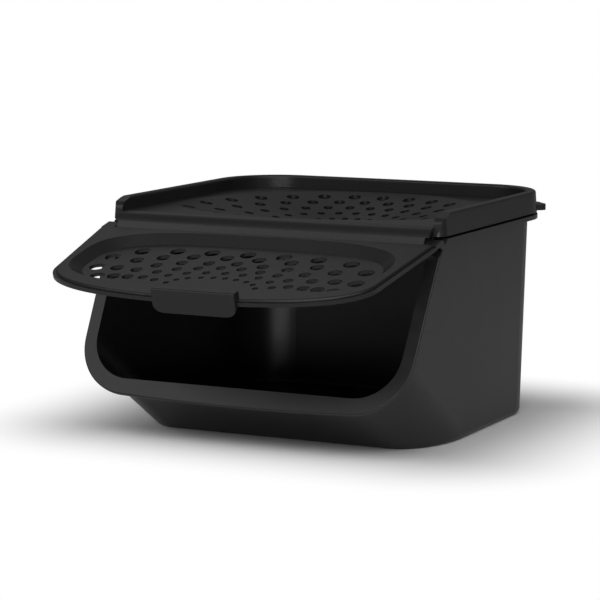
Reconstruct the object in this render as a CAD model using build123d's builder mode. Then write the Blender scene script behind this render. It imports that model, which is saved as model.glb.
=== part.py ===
from build123d import *
import os
from math import atan2, cos, hypot, pi, radians, sin, tan

os.makedirs("parts", exist_ok=True)

# A garlic keeper in three mouldings: an open-fronted container, a vented lid
# that lifts off it, and a vented front flap that swings on the lid. The flap
# is made of six pieces that move as one: cover, panel, nose, two ears and tab.
# Millimetres. X to the right, -Y to the front, Z up, origin in the base.

# container walls
base_half_width = 83.0
base_half_depth = 66.2
wall_draft = 1.72  # degrees, the walls open outwards
back_corner_radius = 26.5
back_bow = 1.5
wall = 2.0
floor_thickness = 2.2
foot_radius = 3.0
apron_angle = 33.5  # degrees, the lower front wall above the floor
apron_corner_radius = 24.0

# container rim, and the lip that stands up from it inside the lid
rim_top = 104.4
rim_thickness = 2.2
rim_overhang = 5.1
lip_rise = 3.3

# hinge axis, from the base's front edge and the rim's top
hinge_reach = 8.8
hinge_drop = 2.3

# mouth
mouth_angle = 61.5  # degrees, the mouth below level
mouth_depth = 1.2  # frame face below the hinge axis
nook_angle = 46.0  # degrees, the facet behind the hinge below level
frame_overhang = 4.6
frame_thickness = 2.0
frame_corner_radius = 28.5
frame_bow = 2.8
frame_edge_radius = 0.6

# lid
lid_set_in = 0.4  # the skirt stands this far inside the container's rim
skirt_gap = 1.1  # shadow gap over the rim
lid_rise = 10.9
lid_draft = 4.2
skirt_wall = 2.0
lid_rim_width = 6.0
lid_sheet = 2.0
seat_gap = 0.3  # between the container's lip and the lid over it
side_gap = 0.4  # between the container's lip and the rib inside it
rib_wall = 1.6
rib_drop = 3.2
rim_edge_radius = 1.2

# fascia, the lid's front wall over the flap
fascia_proud = 4.7  # fascia face, out from the hinge axis
fascia_end = 2.7  # fascia's lower edge, down the slope from the hinge axis
fascia_roll_radius = 9.0
fascia_join = 10.0  # how far back its top is carried

# posts at the lid's front corners, set back from the hinge axis and down from the lid's top
post_length = 11.0
post_crest = 12.5
post_knee = 3.6
post_knee_drop = 3.0
post_foot = 2.0
post_corner_radius = 4.5

# dish in the lid
dish_half_width = 76.6
dish_corner_y = -36.4
dish_back = 64.0
dish_front = -68.5
dish_depth = 11.0
dish_floor_radius = 21.0
dish_rows = 5
dish_row_holes = 22
dish_first_hole = 3.2
dish_last_hole = 6.8
dish_margin = 8.5

# grip on the lid's back right corner
grip_width = 17.0
grip_reach = 5.5
grip_thickness = 3.0
grip_turn = 42.0  # degrees
grip_corner_radius = 4.0

# hinge
stud_radius = 1.3
stud_clearance = 0.06
stud_length = 4.0
cheek_width = 4.1
cheek_radius = 2.9
ear_radius = 2.2
ear_proud = 1.0  # the ears stand out this far past the flap's sides
hinge_gap = 0.4

# flap
flap_rest_angle = 14.4  # degrees, the flap below level as it is modelled
flap_set_in = 0.7  # inside the mouth frame's outer edge
flap_top = 2.8  # flap's face, out from the hinge axis
flap_start = 7.3
flap_length = 85.6
flap_bow = 2.8
flap_taper = 8.8
flap_corner_width = 41.0
flap_corner_length = 26.0
flap_sheet = 1.8
flap_skirt = 2.95
flap_skirt_wall = 1.8
bead_height = 1.8
bead_reach = 1.3
flap_edge_radius = 0.9
back_wall_foot = -3.0  # foot of the nose's back wall, out from the hinge axis
web_top = -1.5
nose_set_in = 16.0  # the nose ends this far inside the cheeks

# panel sunk in the flap
panel_margin = 14.0
panel_start = 15.1
panel_length = 56.0
panel_power = 3.2
panel_sink = 4.2
panel_slope = 5.5  # how far its sloping wall reaches out round it
panel_points = 32

# vent holes in the panel, six half rings round its front: each ring's hole diameter,
# then its holes on one side, across from the middle and forward of the hinge axis
vent_rings = (
    (3.0, ((3.1, 54.1), (9.3, 55.0), (15.6, 56.6), (20.3, 59.3), (23.6, 63.5))),
    (4.0, ((0.0, 48.0), (9.8, 48.8), (19.2, 50.8), (27.0, 54.9), (31.2, 61.2))),
    (5.0, ((5.5, 41.9), (16.6, 44.1), (26.9, 46.6), (35.0, 51.6), (38.6, 59.0))),
    (6.0, ((0.0, 35.8), (14.4, 37.1), (28.4, 38.8), (39.7, 43.5), (46.9, 50.5), (46.6, 59.6))),
    (7.0, ((8.6, 29.5), (26.3, 30.5), (41.3, 33.6), (53.1, 38.8), (58.0, 49.6), (54.0, 59.9))),
    (
        8.0,
        ((0.0, 24.1), (19.4, 24.2), (38.0, 24.9), (56.3, 27.6), (68.0, 36.6), (69.0, 50.0), (62.5, 61.0)),
    ),
)

# finger tab across the flap's front edge, right of the middle, and the pad behind it
tab_offset = 5.8
tab_width = 43.2
tab_tip_width = 30.4
tab_drop = 11.7
tab_thickness = 2.0
pad_rise = 3.9
pad_length = 2.8
pad_edge_radius = 1.1

mouth_turn = radians(mouth_angle)
nook_turn = radians(nook_angle)
draft_rate = tan(radians(wall_draft))
hinge_y = -base_half_depth - hinge_reach
hinge_z = rim_top - hinge_drop
far_front = 2.0 * hinge_y
clear = 1.0  # how far a cutting shape runs past what it cuts
lip_top = rim_top + lip_rise
skirt_bottom = rim_top + skirt_gap
lid_height = skirt_bottom + lid_rise
ledge_under = lip_top + seat_gap
ledge_top = ledge_under + lid_sheet
lid_grow = rim_overhang - lid_set_in
nook_depth = ear_radius + hinge_gap


def down_slope(along, out):
    """Y and Z of a point so far down the mouth's slope and out from it, from the hinge axis."""
    y = hinge_y - along * cos(mouth_turn) - out * sin(mouth_turn)
    z = hinge_z - along * sin(mouth_turn) + out * cos(mouth_turn)
    return (y, z)


def wall_half_width(height):
    return base_half_width + height * draft_rate


def slope_plane(angle, out):
    """Plane across the hinge axis, so far below level, moved out along its normal."""
    turn = radians(angle)
    plane = Plane(origin=(0, hinge_y, hinge_z), x_dir=(1, 0, 0), z_dir=(0, -sin(turn), cos(turn)))
    return plane.offset(out)


def plan(height, grow, front, front_radius=0):
    """The container's outline at a height, grown outwards and cut straight at the front."""
    half_width = wall_half_width(height) + grow
    half_depth = base_half_depth + height * draft_rate + grow
    corner_radius = back_corner_radius + height * draft_rate + grow
    with BuildSketch(Plane.XY.offset(height)) as outline:
        with BuildLine():
            Polyline(
                (-half_width, half_depth),
                (-half_width, front),
                (half_width, front),
                (half_width, half_depth),
            )
            ThreePointArc((half_width, half_depth), (0, half_depth + back_bow), (-half_width, half_depth))
        make_face()
        fillet(outline.vertices().group_by(Axis.Y)[-1], corner_radius)
        if front_radius:
            fillet(outline.vertices().group_by(Axis.Y)[0], front_radius)
    return outline.sketch


apron_turn = radians(apron_angle)
apron_plane = Plane(
    origin=(0, -base_half_depth, 0),
    x_dir=(1, 0, 0),
    z_dir=(0, sin(apron_turn), cos(apron_turn)),
)
mouth_face = slope_plane(mouth_angle, -mouth_depth)
nook_face = slope_plane(nook_angle, -nook_depth)


def apron_side_edges(block):
    """The two long edges between the lower front wall and the side walls."""
    front = block.faces().filter_by(apron_plane)[0]
    return front.edges().filter_by(Axis.X, reverse=True)


# the foot of the lower front wall, seen from the hinge axis, and where its outside meets the mouth
foot_along = hinge_z * sin(mouth_turn) + (hinge_y + base_half_depth) * cos(mouth_turn)
foot_out = (hinge_y + base_half_depth) * sin(mouth_turn) - hinge_z * cos(mouth_turn)
apron_meets = foot_along - (foot_out + mouth_depth) / tan(mouth_turn + apron_turn)
frame_end = apron_meets + frame_overhang
frame_top_half = wall_half_width(hinge_z) + frame_overhang
frame_end_half = wall_half_width(hinge_z - frame_end * sin(mouth_turn)) + frame_overhang
# where the nook's facet meets the frame face, down the slope from the hinge axis
nook_along = (nook_depth - mouth_depth * cos(mouth_turn - nook_turn)) / sin(mouth_turn - nook_turn)


def frame_outline():
    """The mouth frame's outer edge, drawn on the frame face."""
    with BuildSketch(mouth_face) as outline:
        with BuildLine():
            Polyline(
                (frame_end_half, -frame_end),
                (frame_top_half, 0),
                (-frame_top_half, 0),
                (-frame_end_half, -frame_end),
            )
            ThreePointArc(
                (-frame_end_half, -frame_end),
                (0, -frame_end - frame_bow),
                (frame_end_half, -frame_end),
            )
        make_face()
        fillet(outline.vertices().group_by(Axis.Y)[0], frame_corner_radius)
    return outline.sketch


def nook_outline():
    """The strip that carries the mouth frame on up to the rim, drawn on the nook's facet."""
    bottom = down_slope(nook_along, -mouth_depth)
    start = (bottom[0] - hinge_y) * cos(nook_turn) + (bottom[1] - hinge_z) * sin(nook_turn)
    end = start + (rim_top - bottom[1]) / sin(nook_turn)
    with BuildSketch(nook_face) as outline:
        with Locations((0, start)):
            Rectangle(2 * frame_top_half, end - start, align=(Align.CENTER, Align.MIN))
    return outline.sketch


def frame_edges(block):
    """The edges round the outside of the frame face."""
    face = block.faces().filter_by(mouth_face).sort_by(SortBy.AREA)[-1]
    edges = face.edges().filter_by(Axis.X, reverse=True)
    return edges.filter_by(lambda edge: edge.length > frame_overhang)


def hinge_bar(start, end, radius):
    """A round bar on the hinge axis from one X to another."""
    middle = Plane(origin=((start + end) / 2, hinge_y, hinge_z), x_dir=(0, 1, 0), z_dir=(1, 0, 0))
    with BuildPart(middle) as bar:
        Cylinder(radius, abs(end - start))
    return bar.part


# ---------------------------------------------------------------- container
with BuildPart() as cavity:
    extrude(
        plan(floor_thickness, -wall, far_front),
        amount=lip_top + clear - floor_thickness,
        taper=-wall_draft,
    )
    split(bisect_by=apron_plane.offset(wall), keep=Keep.TOP)
    fillet(apron_side_edges(cavity), apron_corner_radius - wall)
    fillet(cavity.faces().sort_by(Axis.Z)[0].edges(), foot_radius - wall / 2)

with BuildPart() as container:
    extrude(plan(0, 0, far_front), amount=lip_top, taper=-wall_draft)
    split(bisect_by=apron_plane, keep=Keep.TOP)
    fillet(apron_side_edges(container), apron_corner_radius)
    fillet(container.faces().sort_by(Axis.Z)[0].edges(), foot_radius)
    split(bisect_by=mouth_face, keep=Keep.BOTTOM)
    extrude(frame_outline(), amount=-frame_thickness)
    fillet(frame_edges(container), frame_edge_radius)
    # the rim, and the strip round the corner that joins it to the frame
    extrude(plan(rim_top - rim_thickness, rim_overhang, hinge_y), amount=rim_thickness)
    extrude(nook_outline(), amount=-frame_thickness)
    add(cavity.part, mode=Mode.SUBTRACT)
    split(bisect_by=nook_face, keep=Keep.BOTTOM)
container.part.label = "container"
export_step(container.part, "parts/container.step")


# ---------------------------------------------------------------------- lid
post_front = hinge_y + post_foot
post_back = post_front + post_length
lid_outer = wall_half_width(skirt_bottom) + lid_grow
lid_inner = lid_outer - lid_rim_width
rim_inner_grow = lid_grow - lid_rim_width
lid_corner_radius = back_corner_radius + skirt_bottom * draft_rate + lid_grow
grip_middle_x = lid_outer - lid_corner_radius
grip_middle_y = base_half_depth + skirt_bottom * draft_rate + lid_grow - lid_corner_radius
rib_grow = -wall - side_gap
# the container lip's front end where it passes the skirt
lip_front = hinge_y + ((skirt_bottom - hinge_z) * cos(nook_turn) + nook_depth) / sin(nook_turn) - side_gap
join_y = down_slope(fascia_end, fascia_proud)[0] + fascia_join
ear_inner = wall_half_width(hinge_z) - wall
cheek_outer = ear_inner - hinge_gap
cheek_inner = cheek_outer - cheek_width


def ring(height, outer_grow, inner_grow, front, inner_front):
    """The band between two outlines of the container, open at the front."""
    with BuildSketch(Plane.XY.offset(height)) as band:
        add(plan(height, outer_grow, front))
        add(plan(height, inner_grow, inner_front), mode=Mode.SUBTRACT)
    return band.sketch


def eye(height, grow):
    """The dish's outline, two arcs that meet at its side corners."""
    half_width = dish_half_width + grow
    with BuildSketch(Plane.XY.offset(height)) as outline:
        with BuildLine():
            ThreePointArc((-half_width, dish_corner_y), (0, dish_back + grow), (half_width, dish_corner_y))
            ThreePointArc((half_width, dish_corner_y), (0, dish_front - grow), (-half_width, dish_corner_y))
        make_face()
    return outline.sketch


def disc(height, radius):
    """The dish's floor, split where the eye's corners point."""
    turn = atan2(-dish_corner_y, dish_half_width)
    right = (radius * cos(turn), -radius * sin(turn))
    left = (-radius * cos(turn), -radius * sin(turn))
    with BuildSketch(Plane.XY.offset(height)) as outline:
        with BuildLine():
            ThreePointArc(left, (0, radius), right)
            ThreePointArc(right, (0, -radius), left)
        make_face()
    return outline.sketch


def bowl(lowered, grow):
    """The dish as a closed solid, from the ledge down to its floor."""
    top = ledge_top - lowered
    with BuildPart() as solid:
        loft(sections=[eye(top, grow), disc(top - dish_depth, dish_floor_radius + grow)], ruled=True)
    return solid.part


def eye_radius(turn):
    """How far the dish's outline lies from the middle in a direction, from its two arcs."""
    reach = dish_margin
    step = 0.25
    while inside_eye(reach * cos(turn), reach * sin(turn)):
        reach += step
    return reach


def arc_through(middle_y):
    """Centre height and radius of the arc from corner to corner through a point on the middle line."""
    rise = middle_y - dish_corner_y
    radius = (dish_half_width ** 2 + rise ** 2) / (2 * abs(rise))
    side = 1 if rise > 0 else -1
    return middle_y - side * radius, radius


def inside_eye(x, y):
    back_y, back_radius = arc_through(dish_back)
    front_y, front_radius = arc_through(dish_front)
    if y > dish_corner_y:
        return hypot(x, y - back_y) < back_radius
    return hypot(x, y - front_y) < front_radius


def dish_holes():
    """Places and radii of the dish's holes, in rows that grow outwards."""
    holes = []
    for row in range(dish_rows):
        share = row / (dish_rows - 1)
        hole = dish_first_hole + (dish_last_hole - dish_first_hole) * share
        for number in range(dish_row_holes):
            turn = 2 * pi * (number + row % 2 / 2) / dish_row_holes + pi / 2
            inner = dish_floor_radius + dish_first_hole
            outer = eye_radius(turn) - dish_margin
            reach = inner + (outer - inner) * share
            holes.append((reach * cos(turn), reach * sin(turn), hole / 2))
    return holes


def fascia_profile():
    """The fascia rolling over into the ledge, in the YZ plane."""
    over = (ledge_top - hinge_z - fascia_proud * cos(mouth_turn)) / -sin(mouth_turn)
    under = (ledge_under - hinge_z - (fascia_proud - lid_sheet) * cos(mouth_turn)) / -sin(mouth_turn)
    outer_corner = down_slope(over, fascia_proud)
    inner_corner = down_slope(under, fascia_proud - lid_sheet)
    with BuildSketch(Plane.YZ) as profile:
        with BuildLine():
            Polyline(
                (join_y + clear, ledge_top),
                outer_corner,
                down_slope(fascia_end, fascia_proud),
                down_slope(fascia_end, fascia_proud - lid_sheet),
                inner_corner,
                (join_y + clear, ledge_under),
                close=True,
            )
        make_face()
        fillet(profile.vertices().sort_by_distance(outer_corner)[0], fascia_roll_radius)
        fillet(profile.vertices().sort_by_distance(inner_corner)[0], fascia_roll_radius - lid_sheet)
    return profile.sketch


def lid_side_profile():
    """The lid seen from the side, with the posts' rounded fronts."""
    knee = (hinge_y + post_knee, lid_height - post_knee_drop)
    crest = hinge_y + post_crest
    with BuildSketch(Plane.YZ.offset(-lid_outer - clear)) as profile:
        with BuildLine():
            Polyline(
                (-far_front, skirt_bottom),
                (-far_front, lid_height + clear),
                (crest, lid_height + clear),
                (crest, lid_height),
                knee,
                (post_front, skirt_bottom),
                close=True,
            )
        make_face()
        fillet(profile.vertices().sort_by_distance(knee)[0], post_corner_radius)
    return profile.sketch


def cheek_profile(side):
    """A hinge cheek, hanging from the fascia's end to the hinge axis."""
    top = down_slope((ledge_under + lid_sheet / 2 - hinge_z) / -sin(mouth_turn), 0)
    with BuildSketch(Plane.YZ.offset(side)) as profile:
        with BuildLine():
            Polyline(
                down_slope(0, cheek_radius),
                down_slope(0, -cheek_radius),
                (top[0] + cheek_radius, top[1]),
                (top[0] - cheek_radius, top[1]),
                close=True,
            )
        make_face()
        with Locations((hinge_y, hinge_z)):
            Circle(cheek_radius)
    return profile.sketch


with BuildPart() as lid:
    extrude(plan(skirt_bottom, lid_grow, post_front, post_corner_radius), amount=lid_rise, taper=lid_draft)
    extrude(lid_side_profile(), amount=2 * (lid_outer + clear), mode=Mode.INTERSECT)
    # hollow under the ledge, the open top over it and the channel inside the rim
    extrude(
        plan(skirt_bottom, lid_grow - skirt_wall, post_back),
        amount=ledge_under - skirt_bottom,
        mode=Mode.SUBTRACT,
    )
    extrude(
        plan(ledge_top, rim_inner_grow, far_front),
        amount=lid_height - ledge_top + clear,
        mode=Mode.SUBTRACT,
    )
    extrude(
        ring(ledge_under, lid_grow - skirt_wall, rim_inner_grow + lid_sheet, post_back, far_front),
        amount=lid_height - lid_sheet - ledge_under,
        mode=Mode.SUBTRACT,
    )
    # room for the container's lip in the posts
    extrude(
        plan(skirt_bottom - clear, side_gap, lip_front),
        amount=ledge_under - skirt_bottom + clear,
        mode=Mode.SUBTRACT,
    )
    # between the posts the slab gives way to the fascia
    with BuildSketch(Plane.XY.offset(skirt_bottom - clear)):
        with Locations((0, join_y)):
            Rectangle(2 * lid_inner, -far_front, align=(Align.CENTER, Align.MAX))
    extrude(amount=lid_rise + 2 * clear, mode=Mode.SUBTRACT)
    with BuildSketch(Plane.XY.offset(skirt_bottom - clear)):
        with Locations((0, post_back + clear)):
            Rectangle(2 * lid_inner, -far_front, align=(Align.CENTER, Align.MAX))
    extrude(amount=ledge_under - skirt_bottom + clear, mode=Mode.SUBTRACT)
    extrude(fascia_profile(), amount=lid_inner + clear / 2, both=True)
    fillet(lid.faces().sort_by(Axis.Z)[-1].edges(), rim_edge_radius)
    # dish, one sheet thick
    add(bowl(lid_sheet, lid_sheet / 2))
    add(bowl(0, 0), mode=Mode.SUBTRACT)
    # rib that stands inside the container's lip
    extrude(
        ring(ledge_under - rib_drop, rib_grow, rib_grow - rib_wall, post_back, post_back - clear),
        amount=rib_drop + lid_sheet / 2,
    )
    # hinge cheeks, with room for the flap's nose between them and its ears outside
    for side in (-1, 1):
        extrude(cheek_profile(side * (cheek_inner + cheek_outer) / 2), amount=cheek_width / 2, both=True)
    add(hinge_bar(-cheek_inner, cheek_inner, nook_depth), mode=Mode.SUBTRACT)
    bore_radius = stud_radius + stud_clearance
    for side in (-1, 1):
        add(
            hinge_bar(side * (cheek_inner - clear), side * (cheek_outer + clear), bore_radius),
            mode=Mode.SUBTRACT,
        )
        # the fascia ends beside the ear
        with BuildSketch(Plane.XY.offset(skirt_bottom)):
            with Locations((side * cheek_outer, post_front)):
                Rectangle(
                    lid_rim_width,
                    -far_front,
                    align=(Align.MIN if side > 0 else Align.MAX, Align.MAX),
                )
        extrude(amount=-lid_rise, mode=Mode.SUBTRACT)
    # grip on the back right corner
    with BuildSketch(Plane.XY.offset(skirt_bottom)) as grip:
        with Locations(Location((grip_middle_x, grip_middle_y), grip_turn)):
            with Locations((lid_corner_radius + (grip_reach - skirt_wall / 2) / 2, 0)):
                Rectangle(grip_reach + skirt_wall / 2, grip_width)
        fillet(grip.vertices().sort_by_distance((0, 0))[-2:], grip_corner_radius)
    extrude(amount=grip_thickness)
    # vent holes, from the top
    with BuildSketch(Plane.XY.offset(ledge_top - dish_depth - 2 * lid_sheet)) as holes:
        for x, y, radius in dish_holes():
            with Locations((x, y)):
                Circle(radius)
    extrude(amount=dish_depth + 3 * lid_sheet, mode=Mode.SUBTRACT)
lid.part.label = "lid"
export_step(lid.part, "parts/lid.step")


# --------------------------------------------------------------------- flap
flap_plane = slope_plane(flap_rest_angle, 0)
flap_turn = radians(flap_rest_angle)
# the flap seen from its side: forward along it, then out of its top
flap_side = Plane(
    origin=(0, hinge_y, hinge_z),
    x_dir=(0, -cos(flap_turn), -sin(flap_turn)),
    z_dir=(-1, 0, 0),
)
flap_half_width = frame_top_half - flap_set_in
front_half_width = flap_half_width - flap_taper
panel_half_width = flap_half_width - panel_margin
flap_bottom = flap_top - flap_skirt
ear_outer = flap_half_width + ear_proud
nose_half_length = cheek_inner - nose_set_in
# the tab's back face passes in front of the mouth frame's end
tab_start = frame_end + frame_bow + hinge_gap
tab_plane = Plane(
    origin=flap_side.from_local_coords((tab_start, 0, 0)),
    x_dir=(1, 0, 0),
    z_dir=flap_side.x_dir,
)
pad_top = flap_top + pad_rise
tab_foot = pad_top - tab_drop
# slope of the bowed front edge where it meets the corners
front_lean = 2 * flap_bow / (front_half_width - flap_corner_width)


def flap_outline(out, grow):
    """The flap's outline, tapering to its rounded front, so far out from the hinge axis."""
    half_back = flap_half_width + grow
    half_front = front_half_width + grow
    front = flap_length + grow
    start = flap_start - grow if grow < 0 else flap_start
    lean = (half_back - half_front) / (front - start)
    side_end = front - flap_corner_length
    side_x = half_front + lean * flap_corner_length
    corner_x = half_front - flap_corner_width
    with BuildSketch(flap_plane.offset(out)) as outline:
        with BuildLine():
            Line((half_back, -start), (side_x, -side_end))
            Spline(
                (side_x, -side_end),
                (corner_x, -front),
                tangents=((-lean, -1), (-1, -front_lean)),
                tangent_scalars=(1.0, 1.0),
            )
            ThreePointArc((corner_x, -front), (0, -front - flap_bow), (-corner_x, -front))
            Spline(
                (-corner_x, -front),
                (-side_x, -side_end),
                tangents=((-1, front_lean), (-lean, 1)),
                tangent_scalars=(1.0, 1.0),
            )
            Line((-side_x, -side_end), (-half_back, -start))
            Line((-half_back, -start), (half_back, -start))
        make_face()
    return outline.sketch


def panel_outline(out, grow):
    """The sunk panel's oval, a superellipse, so far out from the hinge axis."""
    half_width = panel_half_width + grow
    half_length = panel_length / 2 + grow
    middle = -panel_start - panel_length / 2
    points = []
    for number in range(panel_points):
        turn = 2 * pi * number / panel_points
        x = abs(cos(turn)) ** (2 / panel_power) * half_width
        y = abs(sin(turn)) ** (2 / panel_power) * half_length
        points.append((x if cos(turn) > 0 else -x, middle + (y if sin(turn) > 0 else -y)))
    with BuildSketch(flap_plane.offset(out)) as outline:
        with BuildLine():
            Spline(*points, periodic=True)
        make_face()
    return outline.sketch


def panel_bowl(lowered, grow):
    """The sunk panel and its sloping wall as a closed solid."""
    top = flap_top - lowered
    with BuildPart() as solid:
        loft(
            sections=[panel_outline(top, panel_slope + grow), panel_outline(top - panel_sink, grow)],
            ruled=True,
        )
    return solid.part


def side_block(middle, length, start, end, bottom, top):
    """A block across the flap, from one place along it to another and up to a height."""
    with BuildSketch(flap_side.offset(-middle)) as profile:
        with BuildLine():
            Polyline((start, bottom), (end, bottom), (end, top), (start, top), close=True)
        make_face()
    with BuildPart() as block:
        extrude(profile.sketch, amount=length / 2, both=True)
    return block.part


def tab_outline():
    """The tab, from the pad's top down to its narrower foot."""
    left = tab_offset - tab_width / 2
    right = tab_offset + tab_width / 2
    tip_left = tab_offset - tab_tip_width / 2
    tip_right = tab_offset + tab_tip_width / 2
    with BuildSketch(tab_plane) as outline:
        with BuildLine():
            Polyline((left, flap_bottom), (left, pad_top), (right, pad_top), (right, flap_bottom))
            Spline((right, flap_bottom), (tip_right, tab_foot), tangents=((0, -1), (-1, 0)))
            Line((tip_right, tab_foot), (tip_left, tab_foot))
            Spline((tip_left, tab_foot), (left, flap_bottom), tangents=((-1, 0), (0, 1)))
        make_face()
    return outline.sketch


flap_up = Axis(flap_plane.origin, flap_plane.z_dir)
flap_forward = Axis(flap_plane.origin, flap_side.x_dir)


def top_edges(block):
    """The highest edges across the flap, from the hinge side to the front."""
    return block.edges().filter_by(Axis.X).group_by(flap_up)[-1].sort_by(flap_forward)


with BuildPart() as flap:
    # skirted cover with a bead round its foot
    extrude(flap_outline(flap_bottom, 0), amount=flap_skirt)
    fillet(flap.faces().sort_by(flap_up)[-1].edges(), flap_edge_radius)
    extrude(flap_outline(flap_bottom, bead_reach), amount=bead_height)
    extrude(
        flap_outline(flap_bottom, -flap_skirt_wall),
        amount=flap_skirt - flap_sheet,
        mode=Mode.SUBTRACT,
    )
    # the opening that the panel sinks through, and room for the panel's own edge under it
    add(panel_bowl(0, 0), mode=Mode.SUBTRACT)
    add(panel_bowl(flap_sheet, flap_sheet / 2), mode=Mode.SUBTRACT)
    # the bead gives way to the tab, and a pad carries it
    tab_end = tab_start + tab_thickness
    add(
        side_block(tab_offset, tab_width, tab_start, tab_end, flap_bottom - clear, pad_top),
        mode=Mode.SUBTRACT,
    )
    add(side_block(tab_offset, tab_width, tab_start - pad_length, tab_start, flap_bottom, pad_top))
    fillet(top_edges(flap)[0], pad_edge_radius)
flap.part.label = "flap"
export_step(flap.part, "parts/flap.step")


# -------------------------------------------------------------------- panel
with BuildPart() as panel:
    add(panel_bowl(flap_sheet, flap_sheet / 2))
    add(panel_bowl(0, 0), mode=Mode.SUBTRACT)
    # vent holes, from the top
    with BuildSketch(flap_plane.offset(flap_top + clear)) as vents:
        for diameter, places in vent_rings:
            for across, forward in places:
                for side in (-1, 1) if across else (1,):
                    with Locations((side * across, -forward)):
                        Circle(diameter / 2)
    extrude(amount=-(flap_sheet + panel_sink + 2 * clear), mode=Mode.SUBTRACT)
panel.part.label = "panel"
export_step(panel.part, "parts/panel.step")


# --------------------------------------------------------------------- nose
with BuildPart() as nose:
    add(hinge_bar(-nose_half_length, nose_half_length, ear_radius))
    wall_end = flap_start + flap_skirt_wall
    nose_length = 2 * nose_half_length
    add(side_block(0, nose_length, flap_start, wall_end, back_wall_foot, flap_bottom))
    add(side_block(0, nose_length, 0, wall_end, back_wall_foot, web_top))
nose.part.label = "nose"
export_step(nose.part, "parts/nose.step")


# --------------------------------------------------------------------- ears
def ear(side):
    """An ear outside its cheek, with the stud that turns in the cheek's bore."""
    middle = side * (ear_inner + ear_outer) / 2
    with BuildPart() as piece:
        add(hinge_bar(side * ear_inner, side * ear_outer, ear_radius))
        add(hinge_bar(side * (ear_inner - stud_length), side * (ear_inner + clear), stud_radius))
        add(side_block(middle, ear_outer - ear_inner, 0, flap_start, flap_bottom, ear_radius))
    return piece.part


left_ear = ear(-1)
left_ear.label = "left_ear"
export_step(left_ear, "parts/left_ear.step")
right_ear = ear(1)
right_ear.label = "right_ear"
export_step(right_ear, "parts/right_ear.step")


# ---------------------------------------------------------------------- tab
with BuildPart() as tab:
    extrude(tab_outline(), amount=tab_thickness)
    fillet(top_edges(tab)[-1], pad_edge_radius)
tab.part.label = "tab"
export_step(tab.part, "parts/tab.step")
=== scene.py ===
import bpy
from math import cos, radians, sin
from mathutils import Matrix, Vector

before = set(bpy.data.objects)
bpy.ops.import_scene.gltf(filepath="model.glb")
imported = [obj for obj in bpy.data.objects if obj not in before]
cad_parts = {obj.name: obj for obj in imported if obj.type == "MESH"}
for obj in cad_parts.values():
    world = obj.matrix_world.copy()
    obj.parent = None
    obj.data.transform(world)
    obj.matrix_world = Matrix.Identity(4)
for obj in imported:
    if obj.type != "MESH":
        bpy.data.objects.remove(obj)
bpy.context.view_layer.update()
print("frame loaded:", sorted(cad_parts))


# a shader socket that takes part in plain Python sums
class Wire:
    def __init__(self, graph, socket):
        self.graph = graph
        self.socket = socket

    def sum(self, operation, *others):
        values = {i: item for i, item in enumerate((self,) + others)}
        return self.graph.node("ShaderNodeMath", {"operation": operation}, values)

    def __add__(self, other):
        return self.sum("ADD", other)

    __radd__ = __add__

    def __mul__(self, other):
        return self.sum("MULTIPLY", other)

    __rmul__ = __mul__

    def __sub__(self, other):
        return self.sum("SUBTRACT", other)

    def __rsub__(self, other):
        return self.graph.node("ShaderNodeMath", {"operation": "SUBTRACT"}, {0: other, 1: self})

    def __pow__(self, other):
        return self.sum("POWER", other)

    def clamp(self):
        return self.graph.node("ShaderNodeClamp", {}, {"Value": self})

    # 0 below low, 1 above high, smooth between
    def step(self, low, high):
        settings = {"interpolation_type": "SMOOTHSTEP"}
        sockets = {"Value": self, "From Min": low, "From Max": high}
        return self.graph.node("ShaderNodeMapRange", settings, sockets)


class Graph:
    def __init__(self, tree):
        self.tree = tree
        tree.nodes.clear()

    # one node: its type, its settings, the values or wires of its sockets, and the output wanted
    def node(self, kind, settings, sockets, output=0):
        made = self.tree.nodes.new(kind)
        for name, value in settings.items():
            setattr(made, name, value)
        for name, value in sockets.items():
            if isinstance(value, Wire):
                self.tree.links.new(value.socket, made.inputs[name])
            else:
                made.inputs[name].default_value = value
        return Wire(self, made.outputs[output]) if made.outputs else None

    # a Mix node keeps its two colours in sockets 6 and 7 and gives the mixed one at output 2
    def mixColour(self, share, first, second):
        sockets = {"Factor": share, 6: first, 7: second}
        return self.node("ShaderNodeMix", {"data_type": "RGBA"}, sockets, 2)

    # look holds the scale, the detail and the roughness of the noise
    def noise(self, place, look):
        scale, detail, roughness = look
        sockets = {"Vector": place, "Scale": scale, "Detail": detail, "Roughness": roughness}
        return self.node("ShaderNodeTexNoise", {}, sockets)

    def scaled(self, vector, factors):
        return self.node("ShaderNodeVectorMath", {"operation": "MULTIPLY"}, {0: vector, 1: factors})

    def part(self, vector, axis):
        return self.node("ShaderNodeSeparateXYZ", {}, {"Vector": vector}, axis)


def grey(level):
    return (level, level, level, 1.0)


# satin black polypropylene as it comes from a spark-eroded mould
plastic = {
    "colour": (0.0085, 0.0085, 0.0088, 1.0),
    "paler": (0.0125, 0.0124, 0.0123, 1.0),
    "roughness": 0.33,
    "specular": 0.31,
    "cloud": (14.0, 3.0, 0.55),  # scale, detail and roughness, as in the next three
    "grain": (2600.0, 1.0, 0.4),
    "scuff": (160.0, 4.0, 0.7),
    "wave": (38.0, 1.5, 0.4),
    "scuffDraw": (1.0, 1.0, 3.0),
    "scuffFrom": 0.60,
    "scuffTo": 0.72,
    "cloudPaling": 0.7,
    "scuffPaling": 0.25,
    "cloudDulling": 0.10,
    "scuffDulling": 0.05,
    "grainDulling": 0.06,
    "grainHeight": 0.00002,  # metres, as the next one
    "waveHeight": 0.00018,
}


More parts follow.
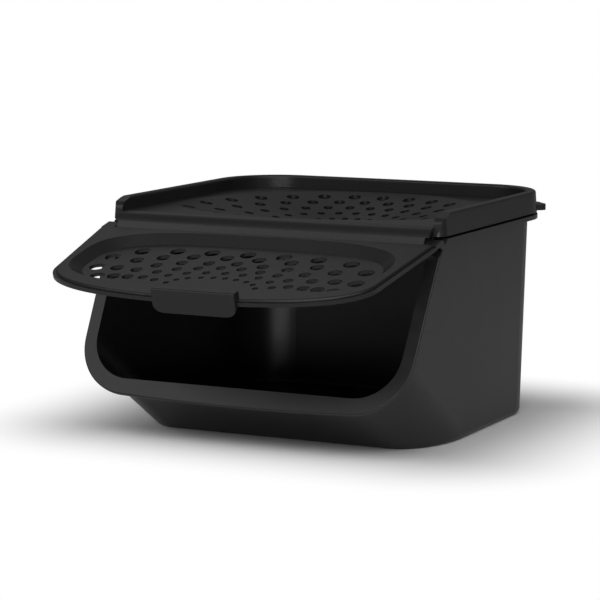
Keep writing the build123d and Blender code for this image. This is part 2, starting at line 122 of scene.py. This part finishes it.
def mouldedPlastic(name, look, flow):
    material = bpy.data.materials.new(name)
    material.use_nodes = True
    graph = Graph(material.node_tree)
    place = graph.node("ShaderNodeTexCoord", {}, {}, "Object")
    drawn = graph.scaled(place, flow)
    cloud = graph.noise(drawn, look["cloud"])
    grain = graph.noise(place, look["grain"])
    streaks = graph.noise(graph.scaled(place, look["scuffDraw"]), look["scuff"])
    scuff = streaks.step(look["scuffFrom"], look["scuffTo"])
    wave = graph.noise(drawn, look["wave"])
    share = (cloud * look["cloudPaling"] + scuff * look["scuffPaling"]).clamp()
    colour = graph.mixColour(share, look["colour"], look["paler"])
    rough = look["roughness"] + (cloud - 0.5) * look["cloudDulling"]
    rough = rough + scuff * look["scuffDulling"] + (grain - 0.5) * look["grainDulling"]
    height = grain * look["grainHeight"] + wave * look["waveHeight"]
    bump = graph.node("ShaderNodeBump", {}, {"Height": height, "Distance": 1.0, "Strength": 1.0})
    sockets = {
        "Base Color": colour,
        "Roughness": rough,
        "Specular IOR Level": look["specular"],
        "Normal": bump,
    }
    surface = graph.node("ShaderNodeBsdfPrincipled", {}, sockets)
    graph.node("ShaderNodeOutputMaterial", {}, {"Surface": surface})
    return material


# how far the mould's flow draws out the finish of each piece, along x, y and z: less is longer
flows = {
    "container": (1.0, 1.0, 0.5),
    "lid": (0.6, 1.0, 1.0),
    "flap": (0.6, 1.0, 1.0),
    "panel": (0.6, 1.0, 1.0),
    "nose": (0.6, 1.0, 1.0),
    "left_ear": (1.0, 1.0, 1.0),
    "right_ear": (1.0, 1.0, 1.0),
    "tab": (0.6, 1.0, 1.0),
}
for node, flow in flows.items():
    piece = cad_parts[node]
    piece.data.materials.clear()
    piece.data.materials.append(mouldedPlastic("black_plastic_" + node, plastic, flow))
print("plastic finish on", len(flows), "pieces")


# camera at the front right, a little above the lid: angles in degrees, lengths in metres, lens in mm
camera = {
    "azimuth": 26.67,
    "elevation": 8.23,
    "roll": -0.07,
    "distance": 1.2568,
    "target": (0.0, -0.0408, 0.060),
    "right": -0.00093,
    "up": 0.00569,
    "lens": 150.71,
    "sensor": 36.0,
    "near": 0.05,
    "far": 50.0,
}


def placeCamera(view):
    turn = radians(view["azimuth"])
    tilt = radians(view["elevation"])
    back = Vector((sin(turn) * cos(tilt), -cos(turn) * cos(tilt), sin(tilt)))
    right = Vector((cos(turn), sin(turn), 0.0))
    up = back.cross(right)
    spot = Vector(view["target"]) + back * view["distance"] + right * view["right"] + up * view["up"]
    axes = Matrix((right, up, back)).transposed().to_4x4()
    data = bpy.data.cameras.new("camera")
    data.sensor_width = view["sensor"]
    data.lens = view["lens"]
    data.clip_start = view["near"]
    data.clip_end = view["far"]
    eye = bpy.data.objects.new("camera", data)
    eye.matrix_world = Matrix.Translation(spot) @ axes @ Matrix.Rotation(radians(view["roll"]), 4, "Z")
    bpy.context.scene.collection.objects.link(eye)
    bpy.context.scene.camera = eye


placeCamera(camera)
print("camera placed")


# pale floor: it shows the object's shadow round its foot and turns white further off
floor = {
    "size": 12.0,
    "colour": 0.80,
    "halfWidth": 0.083,  # the fade is measured from the edge of a foot of this half width and depth
    "halfDepth": 0.066,
    "fadeFrom": 0.0,
    "fadeTo": 0.095,
}


def addFloor(look):
    bpy.ops.mesh.primitive_plane_add(size=look["size"], location=(0, 0, 0))
    plane = bpy.context.object
    plane.name = "floor"
    material = bpy.data.materials.new("paleFloor")
    material.use_nodes = True
    graph = Graph(material.node_tree)
    place = graph.node("ShaderNodeTexCoord", {}, {}, "Object")
    aside = (graph.part(place, 0).sum("ABSOLUTE") - look["halfWidth"]).sum("MAXIMUM", 0.0)
    ahead = (graph.part(place, 1).sum("ABSOLUTE") - look["halfDepth"]).sum("MAXIMUM", 0.0)
    reach = (aside * aside + ahead * ahead) ** 0.5
    away = reach.step(look["fadeFrom"], look["fadeTo"])
    seen = graph.node("ShaderNodeLightPath", {}, {}, "Is Camera Ray")
    matt = graph.node("ShaderNodeBsdfDiffuse", {}, {"Color": grey(look["colour"])})
    glow = graph.node("ShaderNodeEmission", {}, {"Color": grey(1.0), "Strength": 1.0})
    mixed = graph.node("ShaderNodeMixShader", {}, {0: away * seen, 1: matt, 2: glow})
    graph.node("ShaderNodeOutputMaterial", {}, {"Surface": mixed})
    plane.data.materials.append(material)


addFloor(floor)
print("floor laid")


# soft boxes, all turned to the middle of the keeper: places and sizes in metres
boxAim = (0.0, -0.03, 0.06)
softBoxes = {
    "frontHigh": {"place": (0.2, -1.25, 1.3), "size": (1.3, 0.9), "watts": 11.0},
    "rightFront": {"place": (1.2, -0.87, 1.0), "size": (0.9, 0.9), "watts": 7.0},
    "leftFront": {"place": (-1.05, -1.15, 1.0), "size": (0.9, 0.8), "watts": 4.5},
    "lowFront": {"place": (0.4, -1.6, 0.14), "size": (1.2, 0.2), "watts": 7.0},
    "leftBack": {"place": (-0.8, 0.9, 1.2), "size": (0.5, 0.5), "watts": 0.3},
}


def addSoftBox(name, look):
    data = bpy.data.lights.new(name, "AREA")
    data.shape = "RECTANGLE"
    data.size, data.size_y = look["size"]
    data.energy = look["watts"]
    lamp = bpy.data.objects.new(name, data)
    spot = Vector(look["place"])
    lamp.location = spot
    lamp.rotation_euler = (Vector(boxAim) - spot).to_track_quat("-Z", "Y").to_euler()
    bpy.context.scene.collection.objects.link(lamp)


for name, look in softBoxes.items():
    addSoftBox(name, look)
print("soft boxes hung:", len(softBoxes))


# studio round the object: dim light for the object, plain white for the camera
studio = {
    "low": 0.12,
    "high": 0.17,
    "riseTo": 0.9,
}


def addStudio(look):
    world = bpy.data.worlds.new("studio")
    world.use_nodes = True
    graph = Graph(world.node_tree)
    way = graph.node("ShaderNodeTexCoord", {}, {}, "Generated")
    rise = graph.part(way, 2).step(0.0, look["riseTo"])
    level = look["low"] + rise * (look["high"] - look["low"])
    seen = graph.node("ShaderNodeLightPath", {}, {}, "Is Camera Ray")
    through = graph.node("ShaderNodeLightPath", {}, {}, "Is Transmission Ray")
    shown = (seen + through).clamp()
    strength = level * (1 - shown) + shown
    sky = graph.node("ShaderNodeBackground", {}, {"Color": grey(1.0), "Strength": strength})
    graph.node("ShaderNodeOutputWorld", {}, {"Surface": sky})
    bpy.context.scene.world = world


addStudio(studio)
bpy.context.scene.view_settings.view_transform = "Standard"
print("studio lit")
